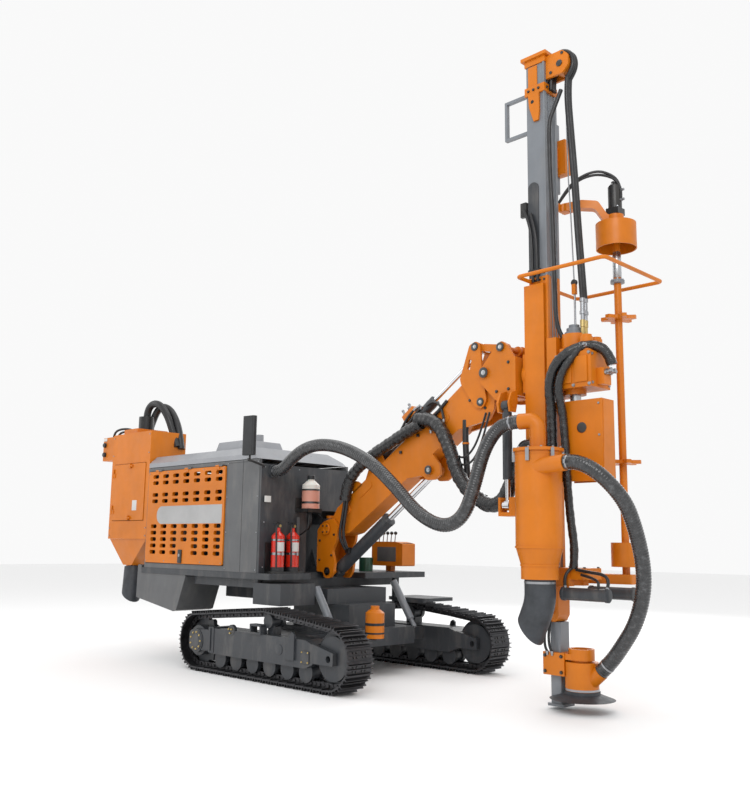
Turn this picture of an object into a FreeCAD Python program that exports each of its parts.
import FreeCAD, Part
import math
import os

# Crawler drilling rig.  Millimetres, +X forward, +Y to the rig's left, +Z up.
# Origin on the ground, midway between the two crawlers and midway along them.
V = FreeCAD.Vector
os.makedirs("parts", exist_ok=True)

# ---------------------------------------------------------------- driving sizes
TRACK_HALF = 1300.0        # half length of a crawler over its shoes
TRACK_W = 300.0            # shoe width
TRACK_OUT = 1150.0         # outer face of the shoes from the centre
TRACK_R = 300.0            # outer radius at sprocket and idler
TRACK_TOP = 690.0          # top run over the carrier roller
SHOE_T = 26.0              # shoe plate, below it the link chain
GROUSER = 22.0             # tooth height
CHAIN_T = 60.0             # shoe plate and chain together
SHOES = 48                 # shoes on one loop

DECK_Z = 1000.0            # top of the deck plate
DECK_T = 60.0
BODY_X0, BODY_X1 = -2290.0, -170.0   # canopy, back and front
BODY_Y0, BODY_Y1 = -1010.0, 215.0    # canopy, right and left side
SIDE_TOP = 2135.0          # top edge of the canopy's right side
FRONT_TOP = 2085.0         # top edge of its front face
ROOF_Z = 2275.0            # roof
PANEL = 30.0               # canopy panel thickness
GAP = 6.0                  # shut line

YB = -100.0                # centre plane of boom and mast
KING_X = -130.0            # vertical swing pin of the boom base
LIFT = (-20.0, 1448.0)     # boom foot pin, X and Z
LIFT_CYL = (7.0, 1019.0)   # lower pin of the lift cylinder
LIFT_EYE = (1360.0, 1998.0)  # rod eye of the lift cylinder on the boom
TILT = (2069.0, 2835.0)    # mast head pin on the boom
ROCKER = (1991.0, 2583.0)  # rocker pin on the boom
DUMP = (1927.0, 3103.0)    # rod eye of the tilt cylinder on the rocker
LINK = (2250.0, 3047.0)    # link pin on the mast head
TILT_CYL = (620.0, 2170.0)  # rear pin of the tilt cylinder on the boom
MSWING_Z = 2780.0          # mast side-swing pin, axis along X
MS_X, MS_Y = 2360.0, -335.0  # mast-swing cylinder
MS_Z0, MS_Z1 = 2500.0, 1640.0

MAST_X0, MAST_X1 = 2505.0, 2690.0    # mast beam
MAST_W = 170.0
MAST_Z0, MAST_Z1 = 760.0, 5650.0
MAST_SPLIT = 3640.0        # grey beam above, orange beam below
DRILL_X = 2900.0           # drill axis
CYC_X, CYC_Y, CYC_R = 2765.0, -470.0, 190.0
CAR_X, CAR_Y = 3095.0, 305.0         # rod carousel axis

RUN = 0.05                 # radial running clearance of a pin


# ---------------------------------------------------------------- small tools
def box(x0, x1, y0, y1, z0, z1):
    return Part.makeBox(x1 - x0, y1 - y0, z1 - z0, V(x0, y0, z0))


def rod(p, q, r):
    p, q = V(*p), V(*q)
    d = q - p
    return Part.makeCylinder(r, d.Length, p, d)


def cone(p, q, r0, r1):
    p, q = V(*p), V(*q)
    d = q - p
    return Part.makeCone(r0, r1, d.Length, p, d)


def tube(p, q, ro, ri):
    p1, q1 = V(*p), V(*q)
    d = q1 - p1
    n = V(d).normalize()
    return rod(p, q, ro).cut(rod(tuple(p1 - n * 1), tuple(q1 + n * 1), ri))


def outline(pts, r):
    """Closed polygon of 2-D points; r is one corner radius or one per point."""
    n = len(pts)
    rs = r if isinstance(r, (list, tuple)) else [r] * n
    out = []
    for i in range(n):
        a, b, c = pts[i - 1], pts[i], pts[(i + 1) % n]
        ux, uy = a[0] - b[0], a[1] - b[1]
        vx, vy = c[0] - b[0], c[1] - b[1]
        lu, lv = math.hypot(ux, uy), math.hypot(vx, vy)
        ux, uy, vx, vy = ux / lu, uy / lu, vx / lv, vy / lv
        ang = math.acos(max(-1.0, min(1.0, ux * vx + uy * vy)))
        rr = rs[i]
        if rr <= 0 or abs(math.pi - ang) < 1e-3:
            out.append([b])
            continue
        t = min(rr / math.tan(ang / 2), 0.49 * lu, 0.49 * lv)
        rr = t * math.tan(ang / 2)
        bx, by = ux + vx, uy + vy
        bl = math.hypot(bx, by)
        dist = rr / math.sin(ang / 2)
        cx, cy = b[0] + bx / bl * dist, b[1] + by / bl * dist
        mx, my = cx - bx / bl * rr, cy - by / bl * rr
        out.append([(b[0] + ux * t, b[1] + uy * t), (mx, my), (b[0] + vx * t, b[1] + vy * t)])
    return out


def wire(corners, f):
    edges = []
    n = len(corners)
    for i in range(n):
        c = corners[i]
        if len(c) == 3:
            edges.append(Part.Arc(V(*f(c[0])), V(*f(c[1])), V(*f(c[2]))).toShape())
        p, q = V(*f(c[-1])), V(*f(corners[(i + 1) % n][0]))
        if (q - p).Length > 1e-4:
            edges.append(Part.LineSegment(p, q).toShape())
    return Part.Wire(edges)


def plate_y(pts, y0, y1, r=0.0, holes=()):
    """Plate from an X-Z outline, between two Y planes; holes are (x, z, radius)."""
    s = Part.Face(wire(outline(pts, r), lambda p: (p[0], y0, p[1]))).extrude(V(0, y1 - y0, 0))
    for hx, hz, hr in holes:
        s = s.cut(rod((hx, min(y0, y1) - 5, hz), (hx, max(y0, y1) + 5, hz), hr))
    return s


def plate_x(pts, x0, x1, r=0.0, holes=()):
    s = Part.Face(wire(outline(pts, r), lambda p: (x0, p[0], p[1]))).extrude(V(x1 - x0, 0, 0))
    for hy, hz, hr in holes:
        s = s.cut(rod((min(x0, x1) - 5, hy, hz), (max(x0, x1) + 5, hy, hz), hr))
    return s


def plate_z(pts, z0, z1, r=0.0, holes=()):
    s = Part.Face(wire(outline(pts, r), lambda p: (p[0], p[1], z0))).extrude(V(0, 0, z1 - z0))
    for hx, hy, hr in holes:
        s = s.cut(rod((hx, hy, min(z0, z1) - 5), (hx, hy, max(z0, z1) + 5), hr))
    return s


def fuse(*shapes):
    s = shapes[0]
    if len(shapes) > 1:
        s = s.fuse(list(shapes[1:]))
    return s.removeSplitter()


def cut(s, *tools):
    for t in tools:
        s = s.cut(t)
    return s


def mirror_y(s, y=0.0):
    return s.mirror(V(0, y, 0), V(0, 1, 0))


def sweep(route, r, rmax=1e9):
    """Round hose along straight runs joined by tangent arcs."""
    pts = [V(*p) for p in route]
    n = len(pts)
    edges, cur, used = [], pts[0], []
    for i in range(1, n - 1):
        a, b, c = pts[i - 1], pts[i], pts[i + 1]
        u, w = a - b, c - b
        lu, lw = u.Length, w.Length
        u.normalize()
        w.normalize()
        turn = math.pi - u.getAngle(w)
        t = min(0.45 * min(lu, lw), rmax * math.tan(turn / 2))
        rad = t / math.tan(turn / 2)
        used.append(rad)
        p, q = b + u * t, b + w * t
        bis = (u + w).normalize()
        cen = b + bis * math.hypot(rad, t)
        mid = cen - bis * rad
        if (p - cur).Length > 1e-4:
            edges.append(Part.LineSegment(cur, p).toShape())
        edges.append(Part.Arc(p, mid, q).toShape())
        cur = q
    edges.append(Part.LineSegment(cur, pts[-1]).toShape())
    path = Part.Wire(edges)
    d = pts[1] - pts[0]
    prof = Part.Wire([Part.Circle(pts[0], d, r).toShape()])
    s = path.makePipeShell([prof], True, False)
    want = path.Length * math.pi * r * r
    print("hose: length %.0f  radii %s  volume ratio %.4f" % (
        path.Length, [int(x) for x in used], s.Volume / want))
    return s


NODES = {}


def add(name, *shapes):
    s = shapes[0] if len(shapes) == 1 else Part.makeCompound(list(shapes))
    NODES[name] = s


# ---------------------------------------------------------------- crawlers
def loop_points(inset):
    """Crawler side profile, offset inwards: list of (x, z) going round."""
    r = TRACK_R - inset
    cx = TRACK_HALF - TRACK_R
    pts = []
    steps = 24
    for i in range(steps + 1):                       # front idler
        a = -math.pi / 2 + math.pi * i / steps
        pts.append((cx + r * math.cos(a), TRACK_R + r * math.sin(a)))
    top = TRACK_TOP - inset
    for x, z in ((cx - 350, TRACK_R + r + 0.45 * (top - TRACK_R - r)), (100.0, top),
                 (-cx + 420, TRACK_R + r + 0.40 * (top - TRACK_R - r))):
        pts.append((x, z))
    for i in range(steps + 1):                       # rear sprocket
        a = math.pi / 2 + math.pi * i / steps
        pts.append((-cx + r * math.cos(a), TRACK_R + r * math.sin(a)))
    return pts


def resample(pts, n):
    seg, total = [], 0.0
    m = len(pts)
    for i in range(m):
        a, b = pts[i], pts[(i + 1) % m]
        d = math.hypot(b[0] - a[0], b[1] - a[1])
        seg.append((total, d, a, b))
        total += d
    out, k = [], 0
    for i in range(n):
        s = total * i / n
        while k < m - 1 and seg[k][0] + seg[k][1] <= s:
            k += 1
        s0, d, a, b = seg[k]
        t = (s - s0) / d
        tx, tz = (b[0] - a[0]) / d, (b[1] - a[1]) / d
        out.append(((a[0] + (b[0] - a[0]) * t, a[1] + (b[1] - a[1]) * t), (tx, tz)))
    return out


def track(side):
    y_out = side * TRACK_OUT
    y_in = side * (TRACK_OUT - TRACK_W)
    y0, y1 = min(y_out, y_in), max(y_out, y_in)
    base = resample(loop_points(GROUSER), SHOES * 4)
    outer = []
    for i, ((x, z), (tx, tz)) in enumerate(base):
        nx, nz = tz, -tx                             # outward
        k = i % 4
        out = GROUSER if k in (1, 2) else 0.0
        outer.append((x + nx * out, z + nz * out))
    inner = [p for p, _ in resample(loop_points(CHAIN_T), 256)]
    def face(pts, a):
        return Part.Face(Part.makePolygon([V(x, a, z) for x, z in pts + [pts[0]]]))
    shoe = face(outer, y0).extrude(V(0, y1 - y0, 0)).cut(
        face(inner, y0 - 5).extrude(V(0, y1 - y0 + 10, 0)))
    return shoe


add("right_track", track(-1))
add("left_track", track(1))

AXLE_X = TRACK_HALF - TRACK_R
AXLE_Z = TRACK_R
WHEEL_R = TRACK_R - CHAIN_T - 1.0
# rollers: x, z, radius
ROLLERS = [(-640, 152, 91), (-380, 152, 91), (-120, 152, 91), (140, 152, 91),
           (400, 152, 91), (660, 152, 91), (100, 562, 66)]


def wheels(side):
    yc = side * (TRACK_OUT - TRACK_W / 2)
    parts = []
    n = 13                                           # sprocket teeth at the back
    pts = []
    for i in range(n * 4):
        a = 2 * math.pi * i / (n * 4)
        r = WHEEL_R if i % 4 in (0, 1) else WHEEL_R - 26
        pts.append((-AXLE_X + r * math.cos(a), AXLE_Z + r * math.sin(a)))
    spr = plate_y(pts, yc - 22, yc + 22)
    spr = fuse(spr, rod((-AXLE_X, yc - 105, AXLE_Z), (-AXLE_X, yc + 105, AXLE_Z), 150))
    parts.append(spr)
    idl = fuse(rod((AXLE_X, yc - 24, AXLE_Z), (AXLE_X, yc + 24, AXLE_Z), WHEEL_R),
               rod((AXLE_X, yc - 70, AXLE_Z), (AXLE_X, yc + 70, AXLE_Z), WHEEL_R - 45))
    parts.append(idl)
    for x, z, r in ROLLERS:
        parts.append(fuse(rod((x, yc - 85, z), (x, yc + 85, z), r - 18),
                          rod((x, yc - 85, z), (x, yc - 45, z), r),
                          rod((x, yc + 45, z), (x, yc + 85, z), r)))
    return parts


def track_frame(side):
    yo = side * (TRACK_OUT - 22)
    yi = side * (TRACK_OUT - TRACK_W + 22)
    y0, y1 = min(yo, yi), max(yo, yi)
    beam = plate_y([(-760, 192), (690, 192), (800, 235), (800, 400), (690, 440), (-700, 440), (-760, 410)],
                   y0, y1, 18)
    fork = plate_y([(780, 245), (1060, 245), (1060, 355), (780, 415)], y0, y1, 12)
    fork = fork.cut(box(770, 1100, side * (TRACK_OUT - TRACK_W / 2) - 78, side * (TRACK_OUT - TRACK_W / 2) + 78, 200, 460))
    fork = fork.cut(rod((AXLE_X, y0 - 20, AXLE_Z), (AXLE_X, y1 + 20, AXLE_Z), 30))
    pin = rod((AXLE_X, y0 + 2, AXLE_Z), (AXLE_X, y1 - 2, AXLE_Z), 30)
    rear = plate_y([(-790, 200), (-700, 200), (-700, 450), (-790, 450)], y0 - 6, y1 + 6, 10)
    cheek_o = plate_y([(-1130, 200), (-760, 215), (-760, 425), (-1130, 400)],
                      side * (TRACK_OUT - 18), side * (TRACK_OUT - 40), 60)
    yc = side * (TRACK_OUT - TRACK_W / 2)
    hub_in = rod((-AXLE_X, side * (TRACK_OUT - TRACK_W / 2 + 106), AXLE_Z), (-AXLE_X, side * (TRACK_OUT - 12), AXLE_Z), 118)
    # clear the rollers and wheels out of the beam
    s = fuse(beam, fork, rear, cheek_o)
    for x, z, r in ROLLERS:
        s = s.cut(rod((x, yc - 88, z), (x, yc + 88, z), r + 6))
    s = s.cut(rod((-AXLE_X, yc - 108, AXLE_Z), (-AXLE_X, yc + 106, AXLE_Z), WHEEL_R + 3))
    s = s.cut(rod((AXLE_X, yc - 76, AXLE_Z), (AXLE_X, yc + 76, AXLE_Z), WHEEL_R + 3))
    post = box(60, 140, yc - 50, yc + 50, 430, 510)
    post = post.cut(rod((100, yc - 60, 562), (100, yc + 60, 562), 54))
    # arm to the centre frame
    ya = side * 480
    arm = box(-330, 330, min(ya, yi + side * 20), max(ya, yi + side * 20), 300, 430)
    s = fuse(s, hub_in, post, arm)
    return s, pin


for nm, sd in (("right", -1), ("left", 1)):
    f, pin = track_frame(sd)
    add(nm + "_track_frame", f, *wheels(sd))

# ---------------------------------------------------------------- chassis
frame = fuse(
    box(-560, 560, -478, 478, 300, 470),                        # centre frame
    box(-420, 420, -330, 330, 470, 700),                        # pedestal
    box(-2330, -200, -500, 960, DECK_Z - DECK_T - 90, DECK_Z - DECK_T),   # deck beams
    box(-1380, -200, -930, -490, DECK_Z - DECK_T - 90, DECK_Z - DECK_T),
    box(-1500, 200, -420, 420, 700, DECK_Z - DECK_T - 90),
)
deck = plate_z([(-2350, -1015), (15, -1015), (15, -480), (-185, -480), (-185, 200), (110, 200),
                (110, 1150), (-1700, 1150), (-1700, 1015), (-2350, 1015)],
               DECK_Z - DECK_T, DECK_Z, 12)
battery_box = fuse(box(-255, 170, -1000, -560, 700, 905), box(-255, -215, -980, -580, 895, 942))
step = plate_z([(-60, 700), (520, 700), (520, 1180), (-60, 1180)], 700, 735, 60)
step_post = fuse(box(20, 60, 700, 770, 690, 942), box(20, 480, 701, 760, 685, 701))
bottle_arm = fuse(box(559, 720, -245, -195, 383, 399), box(559, 575, -245, -195, 330, 399))
# four tow-bracket holes in the rear face of the centre frame
TOW = [(y, z) for y in (-150.0, 150.0) for z in (345.0, 425.0)]
for ty, tz in TOW:
    frame = frame.cut(rod((-570, ty, tz), (-520, ty, tz), 11))

# tank skirt under the deck, right rear
add("fuel_tank", plate_y([(-2430, 1030), (-2353, 1030), (-2353, 939), (-1440, 939), (-1600, 560), (-1660, 545),
                          (-2440, 660)], -1005, -520, [14, 14, 0, 14, 14, 14, 14]))
add("hydraulic_tank", plate_y([(-2280, DECK_Z), (-1130, DECK_Z), (-1130, 1760), (-1200, 1840), (-2280, 1840)],
                              260, 1000, 25))
add("engine_and_compressor", box(-1350, -500, -700, -120, DECK_Z, 1720),
    box(-2150, -1480, -760, 60, DECK_Z, 1600))

# ---------------------------------------------------------------- canopy
HATCH_X0, HATCH_X1 = -2262.0, -765.0
HATCH_Z0, HATCH_Z1 = 1060.0, 2090.0
niche = box(-460, BODY_X1 + 40, YB - 300, YB + 300, DECK_Z - 5, 1640)

right_side = plate_y([(BODY_X0, DECK_Z + 1), (BODY_X1 - PANEL - GAP, DECK_Z + 1), (BODY_X1 - PANEL - GAP, SIDE_TOP),
                      (BODY_X0, SIDE_TOP)], BODY_Y0, BODY_Y0 + PANEL, 0)
right_side = right_side.cut(box(HATCH_X0 - GAP, HATCH_X1 + GAP, BODY_Y0 - 5, BODY_Y0 + PANEL + 5,
                                HATCH_Z0 - GAP, HATCH_Z1 + GAP))
left_side = box(BODY_X0, BODY_X1 - PANEL - GAP, BODY_Y1 - PANEL, BODY_Y1, DECK_Z + 1, SIDE_TOP)
add("canopy_left_side", left_side)
front = box(BODY_X1 - PANEL, BODY_X1, BODY_Y0, BODY_Y1, DECK_Z + 1, FRONT_TOP).cut(niche)
flange = rod((BODY_X1 - 1, -860, 2012), (BODY_X1 + 28, -860, 2012), 70)   # suction hose outlet
add("canopy_front", fuse(front, flange))
rear = box(BODY_X0, BODY_X0 + PANEL - 6, BODY_Y0 + PANEL + GAP, BODY_Y1 - PANEL - GAP, DECK_Z + 1, SIDE_TOP - GAP)
add("canopy_rear", rear)

# roof: bevelled on its right and front edges
def roof_solid(o):
    prof = [(BODY_Y0 + o, SIDE_TOP + GAP), (BODY_Y1 - o, SIDE_TOP + GAP), (BODY_Y1 - o, ROOF_Z - 90 - o),
            (BODY_Y1 - 110, ROOF_Z - o), (BODY_Y0 + 95, ROOF_Z - o), (BODY_Y0 + o, ROOF_Z - 85 - o)]
    s = plate_x(prof, BODY_X0 + o, BODY_X1 - o)
    wedge = plate_y([(BODY_X1 - 260 - o, ROOF_Z + 1), (BODY_X1 - o, FRONT_TOP + GAP - 0.1 * o), (BODY_X1 + 60, FRONT_TOP - 60), (BODY_X1 + 60, ROOF_Z + 60)],
                    BODY_Y0 - 20, BODY_Y1 + 20)
    return s.cut(wedge)


roof = roof_solid(0.0)
inner = roof_solid(PANEL)
inner = fuse(inner, inner.translated(V(0, 0, -PANEL - 20)))
roof = roof.cut(inner)
solids = sorted(roof.Solids, key=lambda s: -s.Volume)
roof = solids[0]
hump = plate_y([(-1190, ROOF_Z - 1), (-560, ROOF_Z - 1), (-620, ROOF_Z + 95), (-1130, ROOF_Z + 95)], -860, -420, [0, 0, 25, 25])
stub = rod((-700, -640, ROOF_Z + 60), (-700, -640, ROOF_Z + 170), 45)
roof = fuse(roof, hump, stub)
add("canopy_roof", roof)


# slotted hatch on the right side, hinged along its top edge
hatch = plate_y([(HATCH_X0, HATCH_Z0), (HATCH_X1, HATCH_Z0), (HATCH_X1, HATCH_Z1), (HATCH_X0, HATCH_Z1)],
                BODY_Y0 - 14, BODY_Y0 + PANEL - 8, 22)
SLOT_W, SLOT_H = 122.0, 44.0
COLS = [HATCH_X0 + 92 + i * 206.0 for i in range(7)]
ROWS = [2025.0, 1953.0, 1808.0 - 0.0, 1736.0]
ROWS_LOW = [1480.0, 1408.0, 1336.0, 1264.0, 1192.0]
# rows of stadium slots: upper pair, a second pair, then a blank band and five rows
for cx in COLS:
    for rz in [2030.0, 1958.0, 1822.0, 1750.0]:
        hatch = hatch.cut(plate_y([(cx, rz - SLOT_H / 2), (cx + SLOT_W, rz - SLOT_H / 2), (cx + SLOT_W, rz + SLOT_H / 2),
                                   (cx, rz + SLOT_H / 2)], BODY_Y0 - 30, BODY_Y0 + 40, 21.5))
for i, cx in enumerate(COLS):
    for j, rz in enumerate([1466.0, 1394.0, 1322.0, 1250.0, 1178.0]):
        if i == 3 and j > 2:
            continue
        hatch = hatch.cut(plate_y([(cx, rz - SLOT_H / 2), (cx + SLOT_W, rz - SLOT_H / 2), (cx + SLOT_W, rz + SLOT_H / 2),
                                   (cx, rz + SLOT_H / 2)], BODY_Y0 - 30, BODY_Y0 + 40, 21.5))
HINGE_Y, HINGE_Z = BODY_Y0 - 20.0, HATCH_Z1 + 6.0
LEAF_X = (-2100.0, -1513.0, -930.0)
for hx in LEAF_X:
    hatch = hatch.cut(rod((hx + 60.5, HINGE_Y, HINGE_Z), (hx + 121.5, HINGE_Y, HINGE_Z), 12))
    hatch = fuse(hatch, rod((hx, HINGE_Y, HINGE_Z), (hx + 60, HINGE_Y, HINGE_Z), 9),
                 box(hx, hx + 60, HINGE_Y, BODY_Y0 - 13, HATCH_Z1 - 30, HATCH_Z1 + 4))
add("side_hatch", hatch)
knuckles = []
for hx in LEAF_X:
    knuckles.append(fuse(rod((hx + 62, HINGE_Y, HINGE_Z), (hx + 120, HINGE_Y, HINGE_Z), 9),
                         box(hx + 62, hx + 120, HINGE_Y, BODY_Y0 + 1, HINGE_Z + 3, HINGE_Z + 9)))
add("canopy_right_side", fuse(right_side, *knuckles))

# ---------------------------------------------------------------- dust collector
DC_X0, DC_X1 = -3175.0, -2305.0
DC_Y0, DC_Y1 = -1000.0, -520.0
DC_Z0, DC_Z1 = 1320.0, 2590.0
W = 25.0
dcb = fuse(plate_y([(DC_X0, DC_Z0), (DC_X1, DC_Z0), (DC_X1, DC_Z1), (DC_X0, DC_Z1)], DC_Y0, DC_Y1, 6))
dcb = dcb.cut(box(DC_X0 + W, DC_X1 - W, DC_Y0 + W, DC_Y1 - W, DC_Z0 + W, DC_Z1 - W))
DOOR = (-3095.0, -2385.0, 1540.0, 2215.0)
dcb = dcb.cut(box(DOOR[0] - GAP, DOOR[1] + GAP, DC_Y0 - 5, DC_Y0 + W + 5, DOOR[2] - GAP, DOOR[3] + GAP))
PIN_X, PIN_Y = DOOR[0] - 7.0, DC_Y0 - 16.0
door = plate_y([(DOOR[0], DOOR[2]), (DOOR[1], DOOR[2]), (DOOR[1], DOOR[3]), (DOOR[0], DOOR[3])],
               DC_Y0 - 8, DC_Y0 + W - 4, 18)
door_leaves = []
for hz in (1620.0, 2060.0):
    door = fuse(door, rod((PIN_X, PIN_Y, hz), (PIN_X, PIN_Y, hz + 50), 9), box(PIN_X, DOOR[0] + 30, PIN_Y, DC_Y0 - 7, hz, hz + 50))
    door_leaves.append(fuse(rod((PIN_X, PIN_Y, hz + 52), (PIN_X, PIN_Y, hz + 100), 9),
                            box(PIN_X - 36, PIN_X, PIN_Y, DC_Y0 + 1, hz + 52, hz + 100)))
add("dust_door", door)


def frustum(x0, x1, y0, y1, z0, x2, x3, y2, y3, z1):
    a = Part.makePolygon([V(x0, y0, z0), V(x1, y0, z0), V(x1, y1, z0), V(x0, y1, z0), V(x0, y0, z0)])
    b = Part.makePolygon([V(x2, y2, z1), V(x3, y2, z1), V(x3, y3, z1), V(x2, y3, z1), V(x2, y2, z1)])
    return Part.makeLoft([a, b], True, True)


hop = frustum(-3155, -2325, -985, -540, DC_Z0 - 1, -2990, -2800, -880, -700, 1010)
hop = fuse(hop, rod((-2895, -790, 1020), (-2895, -790, 945), 90))
slv = tube((-2895, -790, 985), (-2830, -850, 560), 108, 100)
slv = slv.cut(box(-3130, -2530, -1200, -500, 400, 640).rotate(V(-2830, -850, 600), V(0, 1, 0), 32))
add("dust_sleeve", slv)
tray = box(-3000, -2690, -960, -540, DC_Z1 + 1, DC_Z1 + 62).cut(box(-2985, -2705, -945, -555, DC_Z1 + 21, DC_Z1 + 80))
controls = box(-3500, DC_X0 + 1, -960, -760, 2290, 2585)
rails = [box(DC_X1 - 1, BODY_X0, y, y + 40, 1400, 2090) for y in (-880, -660)]
add("dust_box", fuse(dcb, hop, tray.translated(V(0, 0, -1.5)), controls, *rails, *door_leaves))
add("dust_fan", fuse(rod((-2845, -750, DC_Z1 + 22), (-2845, -750, DC_Z1 + 230), 95),
                     rod((-2845, -750, DC_Z1 + 22), (-2845, -750, DC_Z1 + 60), 130)))

# ---------------------------------------------------------------- front face items
ext = []
for yy in (-850.0, -660.0):
    b = rod((BODY_X1 + 95, yy, 1022), (BODY_X1 + 95, yy, 1370), 66)
    b = fuse(b, cone((BODY_X1 + 95, yy, 1370), (BODY_X1 + 95, yy, 1410), 66, 26),
             rod((BODY_X1 + 95, yy, 1410), (BODY_X1 + 95, yy, 1450), 20))
    ext.append(b)
add("fire_extinguishers", *ext)
rack = (fuse(box(BODY_X1 + 1, BODY_X1 + 175, -940, -570, 1001, 1019),
                              box(BODY_X1 + 1, BODY_X1 + 12, -940, -570, 1001, 1300),
                              box(BODY_X1 + 1, BODY_X1 + 30, -762, -748, 1001, 1180)))
fb = fuse(rod((BODY_X1 + 120, -455, 1650), (BODY_X1 + 120, -455, 1890), 92),
          cone((BODY_X1 + 120, -455, 1890), (BODY_X1 + 120, -455, 1935), 92, 45),
          rod((BODY_X1 + 120, -455, 1935), (BODY_X1 + 120, -455, 1975), 36))
add("fluid_bottle", fb)
shelf = fuse(box(BODY_X1 + 1, BODY_X1 + 205, -560, -372, 1612, 1649),
             box(BODY_X1 + 1, BODY_X1 + 14, -560, -372, 1612, 1760))
add("mirror", plate_z([(-215, -1243), (-60, -1219), (-60, -1160), (-215, -1184)], 2150, 2540, 24))
mirror_arm = (fuse(rod((-150, -1010 + 12, 2062), (-150, -1205, 2110), 13),
                       rod((-150, -1180, 2105), (-150, -1180, 2540), 11)).cut(
    plate_z([(-217, -1246), (-58, -1222), (-58, -1140), (-217, -1150)], 2149, 2541, 0)))
add("front_brackets", rack, shelf, *mirror_arm.Solids)

# ---------------------------------------------------------------- operator side
console = plate_y([(-420, 1060), (60, 1060), (60, 1310), (-60, 1330), (-420, 1330)], 820, 1030, 15)
add("control_console", fuse(console, box(-260, -180, 890, 960, DECK_Z + 1, 1061)))
add("air_filter", fuse(rod((-330, 640, DECK_Z + 1), (-330, 640, 1150), 78)))
add("lubricator", fuse(rod((672, -220, 400), (672, -220, 640), 92), cone((672, -220, 640), (672, -220, 672), 92, 50),
                       rod((672, -220, 672), (672, -220, 705), 42)))
lev = []
for sd in (-1, 1):
    if sd < 0:
        lev.append(rod((330, -506, 560), (130, -506, 860), 40))
        lev.append(rod((330, -506, 560), (393, -506, 455), 24))
    else:
        lev.append(rod((360, 640, 520), (100, 640, 900), 40))
        lev.append(rod((360, 640, 520), (415, 640, 440), 24))
add("levelling_cylinders", fuse(lev[0], lev[1]), fuse(lev[2], lev[3]))

# ---------------------------------------------------------------- boom foot and base
KING_R = 45.0
foot = fuse(box(-455, KING_X, YB - 60, YB + 60, DECK_Z - 1, DECK_Z + 60),
            rod((KING_X, YB, DECK_Z - 60), (KING_X, YB, DECK_Z + 60), 74),
            box(-455, KING_X, YB - 60, YB + 60, 1500, 1560),
            rod((KING_X, YB, 1500), (KING_X, YB, 1560), 74),
            box(-455, -400, YB - 120, YB + 120, DECK_Z - 1, 1560),
            plate_y([(-401, 999), (-300, 999), (-401, 1250)], YB - 15, YB + 15),
            plate_y([(-401, 1561), (-401, 1660), (-390, 1660), (-250, 1561)], YB - 15, YB + 15),
            box(-455, -400, YB - 120, YB + 120, 1559, 1661))
foot = foot.cut(rod((KING_X, YB, 900), (KING_X, YB, 1700), KING_R + RUN))
add("chassis_frame", fuse(frame, deck, battery_box, step, step_post, bottle_arm, foot))

BASE_W = 150.0             # outer half width over the base plates
BASE_T = 32.0
base_pts = [(-165, 1090), (-165, 1440), (-80, 1520), (60, 1560), (150, 1470), (130, 1330), (70, 1230),
            (110, 1100), (95, 1010), (40, 945), (-40, 950), (-68, 1007), (-165, 1012)]
plates = []
for sd in (-1, 1):
    y0 = YB + sd * BASE_W
    y1 = YB + sd * (BASE_W - BASE_T)
    plates.append(plate_y(base_pts, min(y0, y1), max(y0, y1), [20, 60, 60, 60, 60, 60, 60, 60, 60, 50, 30, 10, 20]))
web = fuse(rod((KING_X, YB, DECK_Z + 66), (KING_X, YB, 1494), 62),
           box(-160, -100, YB - 119, YB + 119, DECK_Z + 66, 1494))
web = web.cut(rod((LIFT[0], YB - 119, LIFT[1]), (LIFT[0], YB + 119, LIFT[1]), 77))
base = fuse(*plates, web)
base = base.cut(rod((KING_X, YB, 900), (KING_X, YB, 1700), KING_R))
base = base.cut(rod((LIFT[0], YB - 200, LIFT[1]), (LIFT[0], YB + 200, LIFT[1]), 38))
base = base.cut(rod((LIFT_CYL[0], YB - 200, LIFT_CYL[1]), (LIFT_CYL[0], YB + 200, LIFT_CYL[1]), 30))
pins = [rod((KING_X, YB, DECK_Z + 4), (KING_X, YB, 1590), KING_R),
        rod((LIFT[0], YB - BASE_W - 14, LIFT[1]), (LIFT[0], YB + BASE_W + 14, LIFT[1]), 38),
        rod((LIFT_CYL[0], YB - BASE_W - 8, LIFT_CYL[1]), (LIFT_CYL[0], YB + BASE_W + 8, LIFT_CYL[1]), 30)]
add("boom_base", fuse(base, *pins))

# ---------------------------------------------------------------- boom
BW = 105.0                 # boom half width
ang = math.atan2(TILT[1] - LIFT[1], TILT[0] - LIFT[0])
BL = math.hypot(TILT[1] - LIFT[1], TILT[0] - LIFT[0])


def on_boom(s, n):
    """Point s along the boom axis and n above it."""
    return (LIFT[0] + s * math.cos(ang) - n * math.sin(ang), LIFT[1] + s * math.sin(ang) + n * math.cos(ang))


boom_pts = [on_boom(-50, -50), on_boom(-50, 50), on_boom(60, 60), on_boom(210, 122), on_boom(1500, 130),
            on_boom(2050, 110), on_boom(2170, 60), on_boom(2170, -190), on_boom(1960, -200), on_boom(230, -196),
            on_boom(110, -150)]
boom_box = plate_y(boom_pts, YB - BW, YB + BW, [50, 50, 60, 60, 60, 30, 20, 30, 30, 60, 60])
core = plate_y([on_boom(230, 100), on_boom(2000, 100), on_boom(2000, -165), on_boom(460, -165)],
               YB - BW + 14, YB + BW - 14)
boom_box = boom_box.cut(core)
# fork ears at the top end that carry the mast head and the rocker
ears = []
EAR_PTS = [on_boom(1940, 110), on_boom(2330, 125), on_boom(BL + 75, 70), on_boom(BL + 90, -40),
           on_boom(BL + 20, -110), on_boom(2370, -300), on_boom(2270, -345), on_boom(1940, -200)]
for sd in (-1, 1):
    y0, y1 = YB + sd * BW, YB + sd * (BW - 30)
    ears.append(plate_y(EAR_PTS, min(y0, y1), max(y0, y1), [0, 40, 60, 60, 50, 50, 50, 0]))
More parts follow.
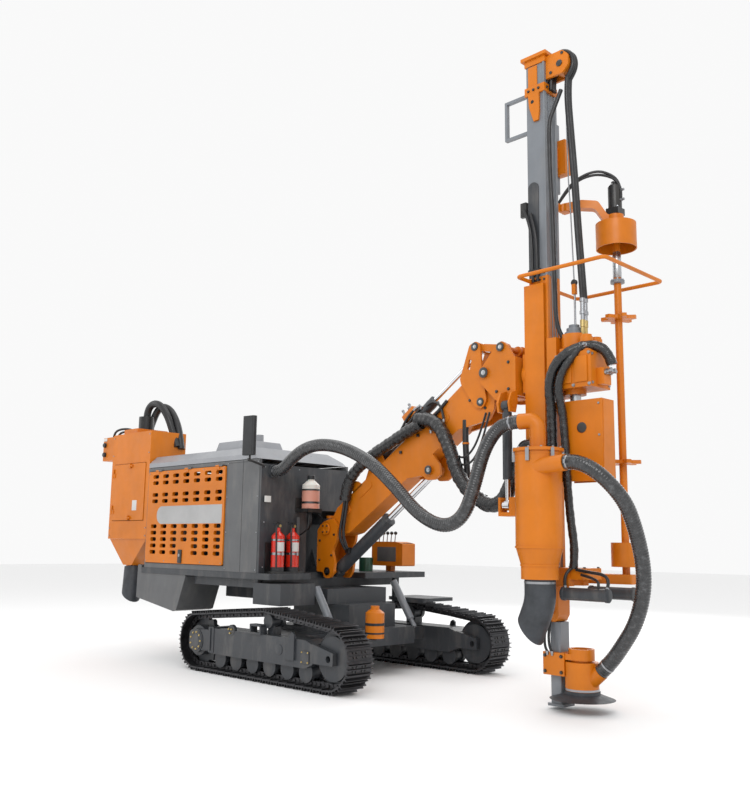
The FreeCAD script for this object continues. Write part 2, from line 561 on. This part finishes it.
# lugs under the boom for the lift cylinder's rod eye
lugs = []
for sd in (-1, 1):
    y0, y1 = YB + sd * BW, YB + sd * (BW - 28)
    lugs.append(plate_y([on_boom(1080, -150), on_boom(1560, -150), on_boom(1580, -330), (1490, 1950), (1420, 1905),
                         (1320, 1905), (1270, 1950)], min(y0, y1), max(y0, y1), [0, 0, 40, 30, 40, 40, 60]))
# lugs above the boom for the tilt cylinder
tl = []
for sd in (-1, 1):
    y0, y1 = YB + sd * 78, YB + sd * 54
    tl.append(plate_y([on_boom(620, 100), on_boom(1000, 100), (TILT_CYL[0] + 62, TILT_CYL[1] + 18),
                       (TILT_CYL[0], TILT_CYL[1] + 62), (TILT_CYL[0] - 58, TILT_CYL[1])], min(y0, y1), max(y0, y1),
                      [0, 0, 40, 45, 40], [(TILT_CYL[0], TILT_CYL[1], 24)]))
boom = fuse(boom_box, *ears, *lugs, *tl)
boom = boom.cut(rod((LIFT[0], YB - 200, LIFT[1]), (LIFT[0], YB + 200, LIFT[1]), 38 + RUN))
boom = boom.cut(rod((TILT[0], YB - 200, TILT[1]), (TILT[0], YB + 200, TILT[1]), 40))
boom = boom.cut(rod((ROCKER[0], YB - 200, ROCKER[1]), (ROCKER[0], YB + 200, ROCKER[1]), 28))
add("boom", fuse(boom,
    rod((TILT[0], YB - 190, TILT[1]), (TILT[0], YB + 190, TILT[1]), 40),
    rod((ROCKER[0], YB - 137, ROCKER[1]), (ROCKER[0], YB + 137, ROCKER[1]), 28),
    rod((TILT_CYL[0], YB - 84, TILT_CYL[1]), (TILT_CYL[0], YB + 84, TILT_CYL[1]), 24),
    rod((LIFT_EYE[0], YB - 128, LIFT_EYE[1]), (LIFT_EYE[0], YB - 104, LIFT_EYE[1]), 34),
    rod((LIFT_EYE[0], YB + 104, LIFT_EYE[1]), (LIFT_EYE[0], YB + 128, LIFT_EYE[1]), 34)))


# ---------------------------------------------------------------- cylinders
def cylinder(p, q, r_barrel, r_rod, l_barrel, eye_w, pin_r, dead=70.0, eye2_w=None, eye2_r=None):
    """Barrel from the pin at p, rod with its eye at q; axis p to q; pins lie along Y."""
    p, q = V(*p), V(*q)
    d = (q - p)
    L = d.Length
    n = V(d).normalize()
    eye = rod(tuple(p - V(0, eye_w / 2, 0)), tuple(p + V(0, eye_w / 2, 0)), pin_r + 26)
    neck = rod(tuple(p), tuple(p + n * dead), r_barrel * 0.72)
    b = rod(tuple(p + n * dead), tuple(p + n * l_barrel), r_barrel)
    b = fuse(eye, neck, b)
    b = b.cut(rod(tuple(p - V(0, eye_w, 0)), tuple(p + V(0, eye_w, 0)), pin_r + RUN))
    b = b.cut(rod(tuple(p + n * (dead + 25)), tuple(p + n * (l_barrel - 30)), r_barrel - 8))
    b = b.cut(rod(tuple(p + n * (l_barrel - 40)), tuple(p + n * (l_barrel + 5)), r_rod + RUN))
    e2w = eye2_w or eye_w
    e2r = eye2_r or (pin_r + 24)
    s = rod(tuple(q - V(0, e2w / 2, 0)), tuple(q + V(0, e2w / 2, 0)), e2r)
    s = fuse(s, rod(tuple(p + n * (l_barrel - 205)), tuple(q), r_rod))
    s = s.cut(rod(tuple(q - V(0, e2w, 0)), tuple(q + V(0, e2w, 0)), pin_r))
    return b, s


b, s = cylinder((LIFT_CYL[0], YB, LIFT_CYL[1]), (LIFT_EYE[0], YB, LIFT_EYE[1]), 66, 34, 905, 100, 30)
add("lift_cylinder", b)
add("lift_rod", s)
b, s = cylinder((TILT_CYL[0], YB, TILT_CYL[1]), (DUMP[0], YB, DUMP[1]), 52, 27, 880, 90, 24, 60, 90)
add("tilt_cylinder", b)
add("tilt_rod", s)

# ---------------------------------------------------------------- rocker, link, mast head
rk = []
RK_PTS = [(DUMP[0] - 62, DUMP[1] + 22), (DUMP[0] + 30, DUMP[1] + 58), (DUMP[0] + 62, DUMP[1] - 30),
          (ROCKER[0] + 20, 2860), (ROCKER[0] + 66, ROCKER[1] + 10), (ROCKER[0] + 20, ROCKER[1] - 66), (ROCKER[0] - 62, ROCKER[1] - 40),
          (1765, 2770), (1752, 2820)]
for sd in (-1, 1):
    y0, y1 = YB + sd * 134, YB + sd * 111.5
    p = plate_y(RK_PTS, min(y0, y1), max(y0, y1), [40, 40, 40, 60, 50, 50, 50, 30, 30],
                [(DUMP[0], DUMP[1], 24), (ROCKER[0], ROCKER[1], 28 + RUN)])
    p = p.cut(plate_y([(1838, 2900), (1868, 2890), (1890, 2985), (1860, 2995)], min(y0, y1) - 5, max(y0, y1) + 5, 13))
    # room for the head pin when the rocker leans forward
    for cx, cz in ((TILT[0], TILT[1]), (TILT[0] - 12, TILT[1] + 3), (TILT[0] - 24, TILT[1] + 6), (TILT[0] - 36, TILT[1] + 8),
                   (TILT[0] - 46, TILT[1] + 10)):
        p = p.cut(rod((cx, y0 - 30, cz), (cx, y0 + 60, cz), 47))
    rk.append(p)
rk = [fuse(p, rod((DUMP[0], YB + sd * 136, DUMP[1]), (DUMP[0], YB + sd * 104, DUMP[1]), 24))
      for p, sd in zip(rk, (-1, 1))]
add("tilt_rocker", *rk)
lk = []
dl = V(LINK[0] - DUMP[0], 0, LINK[1] - DUMP[1]).normalize()
for sd in (-1, 1):
    y0, y1 = YB + sd * 100, YB + sd * 78
    a = rod((DUMP[0], min(y0, y1), DUMP[1]), (DUMP[0], max(y0, y1), DUMP[1]), 46)
    c = rod((LINK[0], min(y0, y1), LINK[1]), (LINK[0], max(y0, y1), LINK[1]), 46)
    nrm = V(-dl.z, 0, dl.x)
    p0, p1 = V(DUMP[0], 0, DUMP[1]), V(LINK[0], 0, LINK[1])
    q = [p0 + nrm * 34, p1 + nrm * 34, p1 - nrm * 34, p0 - nrm * 34]
    bar = plate_y([(v.x, v.z) for v in q], min(y0, y1), max(y0, y1))
    l = fuse(a, c, bar)
    l = l.cut(rod((LINK[0], YB - 200, LINK[1]), (LINK[0], YB + 200, LINK[1]), 24 + RUN))
    l = l.cut(rod((DUMP[0], YB - 200, DUMP[1]), (DUMP[0], YB + 200, DUMP[1]), 20))
    lk.append(l)
add("tilt_link", *lk)

HEAD_PTS = [(LINK[0] - 58, LINK[1] + 20), (LINK[0] + 10, LINK[1] + 60), (LINK[0] + 70, LINK[1] + 10), (2395, 2930), (2395, 2610),
            (2330, 2560), (2190, 2570), (2020, 2745), (2000, 2850)]
hp = []
for sd in (-1, 1):
    y0, y1 = YB + sd * 170, YB + sd * 140
    hp.append(plate_y(HEAD_PTS, min(y0, y1), max(y0, y1), [40, 40, 50, 10, 10, 30, 60, 60, 50]))
back = box(2365, 2409, YB - 175, YB + 175, 2600, 2940)
stiff = [box(2240, 2366, YB - 139, YB + 139, 2590, 2614)]
clv = []
for sd in (-1, 1):
    y0, y1 = MS_Y + sd * 62, MS_Y + sd * 40
    pass
ear = fuse(box(2320, 2352 - 22, MS_Y - 55, YB - 169, 2440, 2640), box(2394, 2396 + 20, MS_Y - 55, YB - 169, 2440, 2640),
           box(2320, 2416, MS_Y - 55, YB - 140, 2600, 2640))
head = fuse(*hp, back, *stiff)
lp = []
for sd in (-1, 1):
    y0, y1 = YB + sd * 60, YB + sd * 141
head = fuse(head, box(2300, 2366, YB - 139, YB + 139, 2900, 2925))
head = head.cut(rod((TILT[0], YB - 300, TILT[1]), (TILT[0], YB + 300, TILT[1]), 40 + RUN))
head = head.cut(rod((LINK[0], YB - 300, LINK[1]), (LINK[0], YB + 300, LINK[1]), 24))
# ears of the side-swing cylinder, low on the right
e1 = plate_x([(YB - 165, 2640), (YB - 165, 2540), (MS_Y + 40, 2440), (MS_Y - 45, 2440), (MS_Y - 60, 2520), (MS_Y - 20, 2610)],
             2288, 2311, 0)
e2 = plate_x([(YB - 165, 2640), (YB - 165, 2540), (MS_Y + 40, 2440), (MS_Y - 45, 2440), (MS_Y - 60, 2520), (MS_Y - 20, 2610)],
             2408, 2424, 0)
head = fuse(head, e1, e2)
head = head.cut(rod((2200, MS_Y, MS_Z0), (2500, MS_Y, MS_Z0), 22))
head = head.cut(rod((2200, YB, MSWING_Z), (2500, YB, MSWING_Z), 60))
add("mast_head", fuse(head,
    rod((LINK[0], YB - 182, LINK[1]), (LINK[0], YB + 182, LINK[1]), 24),
    rod((2282, MS_Y, MS_Z0), (2427, MS_Y, MS_Z0), 22),
    rod((2330, YB, MSWING_Z), (2475, YB, MSWING_Z), 60)))

# side-swing cylinder: pins along X
def cyl_x(p, q, r_barrel, r_rod, l_barrel, eye_w, pin_r, dead):
    p, q = V(*p), V(*q)
    n = (q - p)
    n.normalize()
    b = fuse(rod(tuple(p - V(eye_w / 2, 0, 0)), tuple(p + V(eye_w / 2, 0, 0)), pin_r + 24),
             rod(tuple(p), tuple(p + n * dead), r_barrel * 0.7),
             rod(tuple(p + n * dead), tuple(p + n * l_barrel), r_barrel))
    b = b.cut(rod(tuple(p - V(eye_w, 0, 0)), tuple(p + V(eye_w, 0, 0)), pin_r + RUN))
    b = b.cut(rod(tuple(p + n * (dead + 20)), tuple(p + n * (l_barrel - 28)), r_barrel - 7))
    b = b.cut(rod(tuple(p + n * (l_barrel - 40)), tuple(p + n * (l_barrel + 5)), r_rod + RUN))
    s = fuse(rod(tuple(q - V(eye_w / 2, 0, 0)), tuple(q + V(eye_w / 2, 0, 0)), pin_r + 22),
             rod(tuple(p + n * (l_barrel - 200)), tuple(q), r_rod))
    s = s.cut(rod(tuple(q - V(eye_w, 0, 0)), tuple(q + V(eye_w, 0, 0)), pin_r))
    return b, s


b, s = cyl_x((MS_X, MS_Y, MS_Z0), (MS_X, MS_Y, MS_Z1), 42, 24, 640, 66, 22, 60)
add("swing_cylinder", b)
add("swing_rod", s)

# ---------------------------------------------------------------- cradle
CR_X0 = 2468.0
CR_Y = 115.0               # half width over the cradle
CR_TOP = 3570.0
cr = fuse(box(CR_X0, CR_X0 + 31, YB - CR_Y, YB + CR_Y, 1520, CR_TOP),
          box(CR_X0, MAST_X1 - 20, YB - CR_Y, YB - MAST_W / 2 - 6, 1520, CR_TOP),
          box(CR_X0, MAST_X1 - 20, YB + MAST_W / 2 + 6, YB + CR_Y, 1745, CR_TOP),
          rod((2432, YB, MSWING_Z), (CR_X0 + 2, YB, MSWING_Z), 118),
          box(2440, CR_X0 + 2, YB - CR_Y + 10, YB + CR_Y - 10, 2620, 2960))
cr = cr.cut(rod((2400, YB, MSWING_Z), (2500, YB, MSWING_Z), 60 + RUN))
# ears that carry the rod eye of the side-swing cylinder
cr = fuse(cr, box(2404, CR_X0 + 6, MS_Y - 48, YB - CR_Y + 12, MS_Z1 - 60, MS_Z1 + 66),
          box(2292, CR_X0 + 6, MS_Y - 48, YB - CR_Y + 12, MS_Z1 - 92, MS_Z1 - 59),
          box(2292, 2316, MS_Y - 48, MS_Y + 48, MS_Z1 - 60, MS_Z1 + 66))
add("mast_cradle", cr)
# feed-extension cylinder on the left of the cradle
EX, EY = 2560.0, YB + 190.0
ecb = rod((EX, EY, 1750), (EX, EY, 2990), 45).cut(rod((EX, EY, 1790), (EX, EY, 2970), 37)).cut(
    rod((EX, EY, 1700), (EX, EY, 1800), 24 + RUN))
add("extension_cylinder", fuse(ecb, box(EX - 50, EX + 50, YB + CR_Y + 1, EY + 46, 2990, 3050), box(EX - 60, EX + 60, YB + CR_Y + 1, YB + 148, 1800, 3050)).cut(
    rod((EX, EY, 1790), (EX, EY, 2970), 37)))

# ---------------------------------------------------------------- mast
y0, y1 = YB - MAST_W / 2, YB + MAST_W / 2


def beam(z0, z1):
    s = box(MAST_X0, MAST_X1, y0, y1, z0, z1)
    s = s.cut(box(MAST_X0 + 12, MAST_X1 - 12, y0 + 12, y1 - 12, z0 + 12, z1 - 12))
    return s


upper = fuse(beam(MAST_SPLIT + 1, MAST_Z1), box(MAST_X1 - 1, MAST_X1 + 14, y0 - 12, y0 + 22, MAST_SPLIT + 1, MAST_Z1),
             box(MAST_X1 - 1, MAST_X1 + 14, y1 - 22, y1 + 12, MAST_SPLIT + 1, MAST_Z1))
lower = fuse(beam(MAST_Z0, MAST_SPLIT), box(MAST_X1 - 1, MAST_X1 + 14, y0 - 12, y0 + 22, MAST_Z0, MAST_SPLIT),
             box(MAST_X1 - 1, MAST_X1 + 14, y1 - 22, y1 + 12, MAST_Z0, MAST_SPLIT))
ext_rod = fuse(rod((EX, EY, 800), (EX, EY, 2050), 24), box(EX - 40, EX + 40, y1 - 1, EY + 40, 770, 830))
COL_X, COL_HX, COL_HY = 2698.0, 50.0, 70.0            # prop column below the beam
foot = plate_z([(COL_X - 78, YB - 84), (COL_X + 82, YB - 84), (COL_X + 82, YB + 84), (COL_X - 78, YB + 84)], 25, 47, 14)
column = plate_z([(COL_X - COL_HX, YB - COL_HY), (COL_X + COL_HX, YB - COL_HY), (COL_X + COL_HX, YB + COL_HY),
                  (COL_X - COL_HX, YB + COL_HY)], 45, 689, 12)
add("foot_column", fuse(foot, column))
clampc = plate_z([(2600, YB - 112), (2806, YB - 112), (2806, YB + 112), (2600, YB + 112)], 272, 452, [14, 4, 4, 14])
guide = fuse(rod((DRILL_X, YB, 402), (DRILL_X, YB, 490), 104), box(2790, DRILL_X, YB - 100, YB + 100, 402, 450))
clampc = fuse(clampc, guide)
clampc = clampc.cut(box(COL_X - COL_HX, COL_X + COL_HX, YB - COL_HY, YB + COL_HY, 200, 500))
clampc = clampc.cut(rod((DRILL_X, YB, 380), (DRILL_X, YB, 520), 84)).cut(rod((DRILL_X, YB, 200), (DRILL_X, YB, 396), 134.5))
add("foot_clamp", clampc)
HOOD_R = 133.0
bd = V(0.749, 0, 0.6626)                              # side branch of the hood
bp = V(3078.2, -105, 327.4)
branch_o = rod(tuple(bp - bd * 150), tuple(bp), 62)
branch_i = rod(tuple(bp - bd * 160), tuple(bp + bd * 5), 54)
hood = fuse(rod((DRILL_X, YB, 150), (DRILL_X, YB, 388), HOOD_R), branch_o, rod((DRILL_X, YB, 386), (DRILL_X, YB, 470), 83))
hood = hood.cut(rod((DRILL_X, YB, 140), (DRILL_X, YB, 378), HOOD_R - 8)).cut(rod((DRILL_X, YB, 370), (DRILL_X, YB, 480), 74)).cut(branch_i)
add("dust_hood", hood)
skirt = fuse(rod((DRILL_X, YB, 140), (DRILL_X, YB, 165), 143), cone((DRILL_X, YB, 100), (DRILL_X, YB, 142), 260, 143))
skirt = skirt.cut(rod((DRILL_X, YB, 130), (DRILL_X, YB, 170), HOOD_R + 1)).cut(cone((DRILL_X, YB, 92), (DRILL_X, YB, 134.1), 260, 134))
skirt = skirt.cut(box(2600, COL_X + COL_HX + 7, YB - COL_HY - 8, YB + COL_HY + 8, 40, 240))
add("hood_skirt", skirt)
table = fuse(box(MAST_X1 + 15, 2890, YB - 150, YB + 150, 985, 1090), plate_z(
    [(2706, YB - 130), (3040, YB - 130), (3040, YB + 130), (2706, YB + 130)], 1040, 1130, [0, 40, 40, 0]))
table = table.cut(rod((DRILL_X, YB, 900), (DRILL_X, YB, 1200), 70))
add("table_cylinders", rod((2870, YB - 205, 930), (3280, YB - 205, 930), 50), rod((2870, YB + 205, 930), (3280, YB + 205, 930), 50))
top = fuse(box(2494, 2714, YB - 98, YB + 98, MAST_Z1 + 1, 5712), box(2468, 2738, YB - 122, YB + 122, 5708, 5740))
for yc in (YB - 70, YB + 46):
    side = plate_y([(2640, MAST_Z1 - 1), (2640, 5700), (2880, 5700), (2940, 5640), (2940, 5540), (2880, 5480), (2640, 5480)], yc, yc + 24,
                   [0, 0, 50, 50, 50, 50, 0])
    top = fuse(top, side)
top = top.cut(box(MAST_X0 - 1, MAST_X1 + 16, YB - 100, YB + 100, 5400, MAST_Z1))
add("mast_top", fuse(top, rod((2850, YB - 47, 5580), (2850, YB + 47, 5580), 92)))
hook = (fuse(box(2210, 2504, YB - 20, YB + 20, 5415, 5440), box(2210, 2235, YB - 20, YB + 20, 5050, 5440),
             box(2210, 2504, YB - 20, YB + 20, 5050, 5075)))
add("mast_upper", upper)
add("hose_hook", hook)
# guard hoop round the drill axis
HOOP_Z = 3605.0
hoop_pts = [(2480, -385), (3370, -385), (3370, 560), (2480, 560)]
hw = sweep([(2530, YB - 86, HOOP_Z), (2530, -400, HOOP_Z), (3380, -400, HOOP_Z), (3380, 560, HOOP_Z), (2530, 560, HOOP_Z),
            (2530, YB + 86, HOOP_Z)], 17, 40)

# ---------------------------------------------------------------- cyclone
cyc = fuse(rod((CYC_X, CYC_Y, 1290), (CYC_X, CYC_Y, 2060), CYC_R),
           rod((CYC_X, CYC_Y, 2060), (CYC_X, CYC_Y, 2085), CYC_R + 18),
           cone((CYC_X, CYC_Y, 1290), (CYC_X, CYC_Y, 1150), CYC_R, 150),
           rod((CYC_X, CYC_Y, 1040), (CYC_X, CYC_Y, 1150), 150))
inlet = rod((CYC_X + 60, CYC_Y - 115, 1930), (CYC_X + 330, CYC_Y - 115, 1950), 66)
cyc = fuse(cyc, inlet)
elb = sweep([(CYC_X, CYC_Y, 2080), (CYC_X, CYC_Y, 2320), (2612, -513, 2318)], 66)
add("cyclone", fuse(cyc, elb, box(2676, 2699, -318, y0 - 13, 1380, 1460), box(2676, 2699, -318, y0 - 13, 1860, 1930)))
SLEEVE = [(CYC_X, CYC_Y, 1038), (CYC_X, CYC_Y, 860), (CYC_X - 160, CYC_Y - 10, 480)]
sl = sweep(SLEEVE, 124).cut(sweep([(CYC_X, CYC_Y, 1060)] + SLEEVE[1:2] + [(CYC_X - 177, CYC_Y - 11, 440)], 116))
mouth = Part.makeBox(600, 600, 600, V(-600, -300, -300)).rotate(V(0, 0, 0), V(0, 1, 0), -38)
sl = sl.cut(mouth.translated(V(CYC_X - 98, CYC_Y, 650)))
add("cyclone_sleeve", sl)

# ---------------------------------------------------------------- rotary head
rh = fuse(box(2800, 3140, YB - 150, YB + 150, 2600, 2900), rod((DRILL_X, YB, 2900), (DRILL_X, YB, 3080), 110),
          box(MAST_X1 + 20, 2800, YB - 130, YB + 130, 2560, 3060),
          rod((DRILL_X, YB, 2560), (DRILL_X, YB, 2601), 90))
rh = rh.cut(rod((DRILL_X, YB, 2500), (DRILL_X, YB, 2660), 46 + RUN))
add("drill_spindle", fuse(rod((DRILL_X, YB, 2430), (DRILL_X, YB, 2655), 46), rod((DRILL_X, YB, 2300), (DRILL_X, YB, 2430), 60)).cut(
    rod((DRILL_X, YB, 2290), (DRILL_X, YB, 2400), 33)))
gd = box(2812, 3200, YB - 95, YB + 95, 1830, 2500).cut(box(2800, 3192, YB - 87, YB + 87, 1820, 2550))
gd = fuse(gd, box(MAST_X1 + 22, 2863, YB - 95, YB - 60, 2440, 2500), box(MAST_X1 + 22, 2863, YB + 60, YB + 95, 2440, 2500))
gd = gd.cut(rod((3010, YB - 120, 2270), (3010, YB - 60, 2270), 36))
add("rotary_head", fuse(rh, box(MAST_X1 + 15, MAST_X1 + 21, YB - 130, YB + 130, 1850, 3060)))
add("rod_guard", gd)

# ---------------------------------------------------------------- rod changer
ARM_X = MAST_X1 - 11.0     # the arms stand on the beam's front flange
DRUM_Z0, DRUM_Z1 = 3905.0, 4135.0
arm1 = plate_y([(-25, 4280), (-25, 4350), (150, 4372), (290, 4352), (372, 4217), (439, 4215), (439, 4136), (352, 4136),
                (262, 4282), (140, 4298)], -45, 45, [0, 0, 40, 50, 30, 0, 0, 30, 50, 40])
arm1 = arm1.rotate(V(0, 0, 0), V(0, 0, 1), math.degrees(math.atan2(220, 380))).translated(V(CAR_X - 380, CAR_Y - 220, 0))
base1 = plate_z([(ARM_X, y1 + 13), (2703, y1 + 13), (2703, 42), (2752, 42), (2752, 135), (ARM_X, 135)], 4280, 4350)
drum = tube((CAR_X, CAR_Y, DRUM_Z0), (CAR_X, CAR_Y, DRUM_Z1), 176, 167)
cap = rod((CAR_X, CAR_Y, DRUM_Z1 - 12), (CAR_X, CAR_Y, DRUM_Z1), 176)
hub = rod((CAR_X, CAR_Y, DRUM_Z1 - 1), (CAR_X, CAR_Y, 4215), 72)
arm1 = arm1.cut(box(CAR_X - 61, CAR_X + 61, CAR_Y - 61, CAR_Y + 61, 4215, 4490))
add("changer_upper_arm", fuse(arm1, base1, drum, cap, hub).cut(rod((CAR_X, CAR_Y, 4100), (CAR_X, CAR_Y, 4204), 32 + RUN)))
add("changer_motor", fuse(rod((CAR_X, CAR_Y, 4275), (CAR_X, CAR_Y, 4480), 60), box(CAR_X - 60, CAR_X + 60, CAR_Y - 60, CAR_Y + 60, 4216, 4276)))
arm2 = plate_z([(ARM_X, y1 + 12), (ARM_X, 170), (CAR_X - 60, CAR_Y + 80), (CAR_X + 90, CAR_Y + 80), (CAR_X + 90, CAR_Y - 80), (2760, 90),
                (MAST_X1 + 14, 60), (MAST_X1 + 14, y1 + 12)], 1000, 1080, [0, 20, 20, 20, 20, 20, 0, 0])
arm2 = arm2.cut(rod((CAR_X, CAR_Y, 900), (CAR_X, CAR_Y, 1200), 32 + RUN))
toe = plate_y([(2640, 984), (2745, 984), (2745, 745), (2715, 690), (2640, 690)], YB - 84, YB + 84, [0, 0, 20, 20, 20])
add("mast_lower", fuse(lower, ext_rod, toe))
add("guard_hoop", hw)
add("rod_table", fuse(table, arm2))
pole = [rod((CAR_X, CAR_Y, 1010), (CAR_X, CAR_Y, 4200), 32), rod((CAR_X, CAR_Y, 1140), (CAR_X, CAR_Y, 1340), 120),
        ]
n = 6
for z in (3260, 2000):
    pts = []
    for i in range(n * 4):
        a = 2 * math.pi * i / (n * 4) + 0.2
        r = 150 if i % 4 in (0, 1) else 95
        pts.append((CAR_X + r * math.cos(a), CAR_Y + r * math.sin(a)))
    pole.append(plate_z(pts, z, z + 30))
add("rod_carousel", fuse(*pole))

# ---------------------------------------------------------------- hoses
HOSE_R = 60.0
h1 = [(BODY_X1 + 29, -860, 2012), (-35, -860, 2012), (130, -873, 2125), (330, -880, 2215), (580, -880, 2240), (900, -870, 2180),
      (1240, -850, 2020), (1500, -820, 1800), (1740, -790, 1560), (2010, -760, 1440), (2210, -740, 1530), (2290, -700, 1800),
      (2335, -640, 2080), (2410, -575, 2250), (2510, -541.5, 2316.6), (2611, -513.3, 2318)]
add("suction_hose", sweep(h1, HOSE_R))
h2 = [(CYC_X + 332, CYC_Y - 115, 1950.2), (3190, -585, 1957), (3340, -555, 1880), (3445, -475, 1751), (3488, -370, 1625),
      (3495, -285, 1490), (3495, -205, 1330), (3493, -150, 1170), (3478, -118, 1010), (3440, -108, 850), (3375, -106, 690),
      (3270, -105, 540), (3165, -105, 404.1), (3079.1, -105, 328.2)]
add("hood_hose", sweep(h2, HOSE_R))

for name, s in NODES.items():
    s.exportStep("parts/%s.step" % name)
bb = None
for s in NODES.values():
    b = s.BoundBox
    bb = b if bb is None else bb.united(b)
vol = sum(s.Volume for s in NODES.values()) / 1e9
print("nodes", len(NODES), "box X %.0f %.0f Y %.0f %.0f Z %.0f %.0f" % (bb.XMin, bb.XMax, bb.YMin, bb.YMax, bb.ZMin, bb.ZMax), "solid m3 %.3f" % vol)
for name, s in NODES.items():
    if not s.isValid() or s.Volume <= 0:
        print("BAD", name, s.isValid(), s.Volume)
